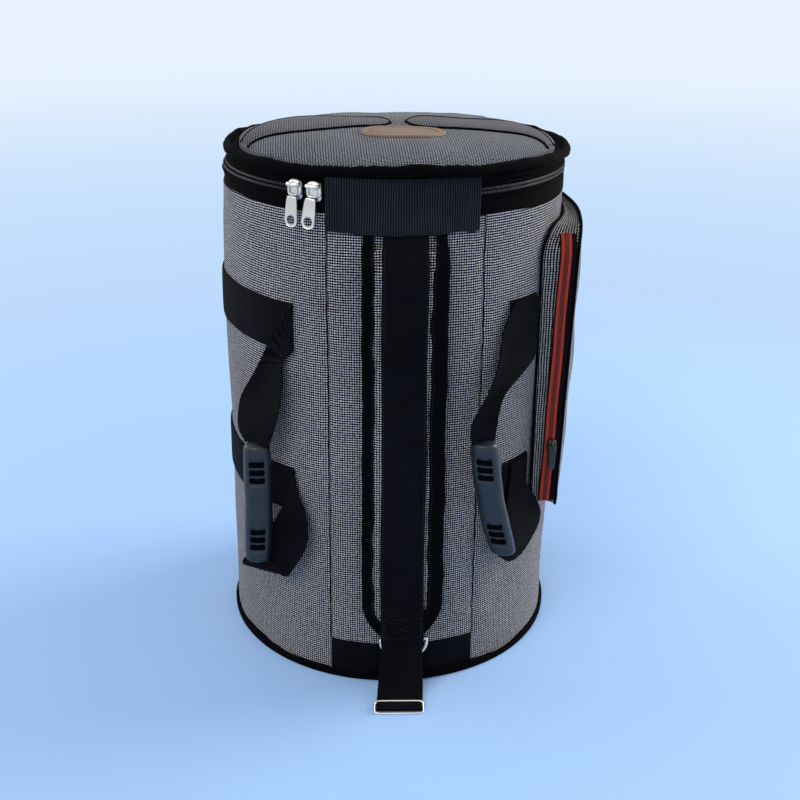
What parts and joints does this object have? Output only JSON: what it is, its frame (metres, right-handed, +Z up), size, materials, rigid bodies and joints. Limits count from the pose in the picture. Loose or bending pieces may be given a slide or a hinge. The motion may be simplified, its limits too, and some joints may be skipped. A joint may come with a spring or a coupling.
{
  "type": "darbuka bag",
  "caption": "Padded round carry bag for a goblet drum, with a zipped flip lid, shoulder strap, side carry handles and a zipped side pocket.",
  "frame": {"origin": "centre of the bag's flat base, on the floor", "axes": "+Z up along the bag's axis; -Y towards the front with the shoulder strap and lid hinge; +X towards the side pocket"},
  "size_m": [0.3059, 0.3408, 0.4538],
  "materials": {
    "grey_tweed": "grey basket-weave tweed of black and white yarn",
    "black_webbing": "black ribbed webbing",
    "black_binding": "black folded edge binding",
    "lining_cloth": "plain black lining cloth",
    "foam": "closed-cell foam padding",
    "board": "stiff black plastic board",
    "zip_tape": "woven black zip tape",
    "zip_coil": "black nylon zip coil",
    "nickel": "nickel-plated metal",
    "rubber": "slate grey moulded rubber",
    "tan_leather": "tan leather",
    "red_tape": "orange-red zip tape",
    "red_coil": "dark red zip coil",
    "black_metal": "black lacquered metal"
  },
  "bodies": {
    "body": {"base_panel": "black_webbing", "base_foam": "foam", "base_board": "board", "base_lining": "lining_cloth", "base_binding": "black_binding", "side_wall": "grey_tweed", "front_panel": "grey_tweed", "kick_panel": "black_webbing", "body_band": "black_webbing", "wall_padding": "foam", "inner_lining": "lining_cloth", "body_zip_tape": "zip_tape", "body_zip_teeth": "zip_coil", "hinge_panel": "black_webbing", "upper_band_left": "black_webbing", "upper_band_right": "black_webbing", "lower_band_left": "black_webbing", "lower_band_right": "black_webbing", "shoulder_pad": "grey_tweed", "pad_binding_left": "black_binding", "pad_binding_right": "black_binding", "strap_webbing": "black_webbing", "ring_chape": "black_webbing", "pocket_front_gusset": "grey_tweed", "pocket_top_gusset": "grey_tweed", "pocket_rear_gusset": "grey_tweed", "pocket_bottom_gusset": "grey_tweed", "pocket_face": "grey_tweed", "pocket_binding": "black_binding", "pocket_zip_tape": "red_tape", "pocket_zip_teeth": "red_coil"},
    "lid": {"lid_cover": "grey_tweed", "lid_padding": "foam", "lid_lining": "lining_cloth", "lid_band": "black_webbing", "lid_zip_tape": "zip_tape", "lid_zip_teeth": "zip_coil", "lid_piping": "black_binding", "lid_left_inset": "grey_tweed", "lid_right_inset": "grey_tweed", "lid_badge": "tan_leather"},
    "left_slider": {"left_slider": "nickel"},
    "left_pull": {"left_pull": "nickel"},
    "right_slider": {"right_slider": "nickel"},
    "right_pull": {"right_pull": "nickel"},
    "left_handle": {"left_handle_upper_strap": "black_webbing", "left_handle_lower_strap": "black_webbing", "left_grip": "rubber"},
    "right_handle": {"right_handle_upper_strap": "black_webbing", "right_handle_lower_strap": "black_webbing", "right_grip": "rubber"},
    "ring": {"d_ring": "nickel"},
    "tail": {"tail_webbing": "black_webbing", "tail_return": "black_webbing", "slide_buckle": "nickel"},
    "pocket_slider": {"pocket_slider": "black_metal"},
    "pocket_pull": {"pocket_pull": "black_metal"}
  },
  "joints": [
    {"name": "lid_hinge", "type": "hinge", "parent": "body", "child": "lid", "pos_m": [0, -0.1437, 0.43575], "axis": [1, 0, 0], "range_deg": [0, 180]},
    {"name": "left_slider_travel", "type": "hinge", "parent": "body", "child": "left_slider", "pos_m": [0, 0, 0.4206], "axis": [0, 0, 1], "range_deg": [-296, 0]},
    {"name": "left_pull_tilt", "type": "hinge", "parent": "left_slider", "child": "left_pull", "pos_m": [-0.08186, -0.1251, 0.4251], "axis": [-0.8368, 0.5476, 0], "range_deg": [0, 85]},
    {"name": "right_slider_travel", "type": "hinge", "parent": "body", "child": "right_slider", "pos_m": [0, 0, 0.4206], "axis": [0, 0, 1], "range_deg": [-1, 0]},
    {"name": "right_pull_tilt", "type": "hinge", "parent": "right_slider", "child": "right_pull", "pos_m": [-0.06764, -0.13332, 0.4251], "axis": [-0.8918, 0.4524, 0], "range_deg": [0, 85]},
    {"name": "left_handle_swing", "type": "hinge", "parent": "body", "child": "left_handle", "pos_m": [-0.08701, -0.11801, 0.171], "axis": [0, 0, 1], "range_deg": [0, 115]},
    {"name": "right_handle_swing", "type": "hinge", "parent": "body", "child": "right_handle", "pos_m": [0.08556, -0.11907, 0.171], "axis": [0, 0, 1], "range_deg": [0, 88]},
    {"name": "ring_swing", "type": "hinge", "parent": "body", "child": "ring", "pos_m": [0, -0.14661, 0.0425], "axis": [-1, 0, 0], "range_deg": [0, 12]},
    {"name": "tail_lift", "type": "hinge", "parent": "body", "child": "tail", "pos_m": [0, -0.15469, 0.0437], "axis": [-1, 0, 0], "range_deg": [0, 45]},
    {"name": "pocket_slider_travel", "type": "slide", "parent": "body", "child": "pocket_slider", "axis": [0, 0, 1], "range_m": [-0.039, 0.155]},
    {"name": "pocket_pull_tilt", "type": "hinge", "parent": "pocket_slider", "child": "pocket_pull", "pos_m": [0.13037, -0.0971, 0.19775], "axis": [-1, 0, 0], "range_deg": [0, 90]}
  ]
}
